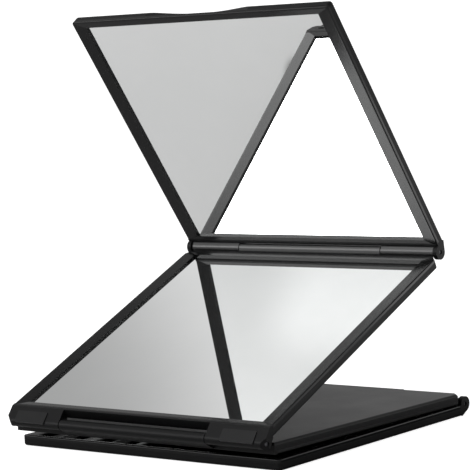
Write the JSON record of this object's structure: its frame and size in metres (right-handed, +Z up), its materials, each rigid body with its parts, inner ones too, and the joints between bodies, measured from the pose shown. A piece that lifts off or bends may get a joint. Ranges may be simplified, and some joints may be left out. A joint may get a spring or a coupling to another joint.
{
  "type": "folding mirror",
  "caption": "Pocket make-up mirror whose framed glass panels fold like an accordion on friction hinges and stand open at any angle.",
  "frame": {"origin": "on the surface the mirror stands on, below the middle of its overall box", "axes": "+X along the hinges, +Y towards the rear hinges, +Z up"},
  "size_m": [0.12, 0.1254, 0.1562],
  "materials": {
    "cover_plastic": "satin black moulded plastic",
    "frame_plastic": "satin black moulded plastic",
    "cap_plastic": "satin black moulded plastic",
    "mirror_glass": "silvered float glass",
    "tape": "black foam tape",
    "magnet": "nickel plated",
    "keeper_steel": "zinc plated",
    "pin_steel": "black oxide",
    "sleeve_steel": "spring steel"
  },
  "bodies": {
    "base": {"base_back_cover": "cover_plastic", "base_front_frame": "frame_plastic", "base_mirror": "mirror_glass", "base_mirror_tape": "tape", "base_magnet_left": "magnet", "base_magnet_right": "magnet", "foot_hinge_pin_left": "pin_steel", "foot_hinge_pin_right": "pin_steel"},
    "lower": {"lower_back_cover": "cover_plastic", "lower_front_frame": "frame_plastic", "lower_mirror": "mirror_glass", "lower_mirror_tape": "tape", "lower_keeper_left": "keeper_steel", "lower_keeper_right": "keeper_steel", "foot_hinge_sleeve_left": "sleeve_steel", "foot_hinge_sleeve_right": "sleeve_steel", "front_hinge_sleeve_left": "sleeve_steel", "front_hinge_sleeve_right": "sleeve_steel"},
    "upper": {"upper_back_cover": "cover_plastic", "upper_front_frame": "frame_plastic", "upper_mirror": "mirror_glass", "upper_mirror_tape": "tape", "upper_keeper_left": "keeper_steel", "upper_keeper_right": "keeper_steel", "front_hinge_pin_left": "pin_steel", "front_hinge_pin_right": "pin_steel", "top_hinge_sleeve_left": "sleeve_steel", "top_hinge_sleeve_right": "sleeve_steel", "front_hinge_cap_left": "cap_plastic", "front_hinge_cap_right": "cap_plastic"},
    "top": {"top_back_cover": "cover_plastic", "top_front_frame": "frame_plastic", "top_mirror": "mirror_glass", "top_mirror_tape": "tape", "top_magnet_left": "magnet", "top_magnet_right": "magnet", "top_hinge_pin_left": "pin_steel", "top_hinge_pin_right": "pin_steel"}
  },
  "joints": [
    {"name": "foot_fold", "type": "hinge", "parent": "base", "child": "lower", "pos_m": [0, 0.05956, 0.00425], "axis": [-1, 0, 0], "range_deg": [-0.8, 179.2]},
    {"name": "front_fold", "type": "hinge", "parent": "lower", "child": "upper", "pos_m": [0, -0.06036, 0.01043], "axis": [1, 0, 0], "range_deg": [-24.45, 155.55]},
    {"name": "top_fold", "type": "hinge", "parent": "upper", "child": "top", "pos_m": [0, 0.04775, 0.06269], "axis": [-1, 0, 0], "range_deg": [-79.2, 100.8]}
  ]
}
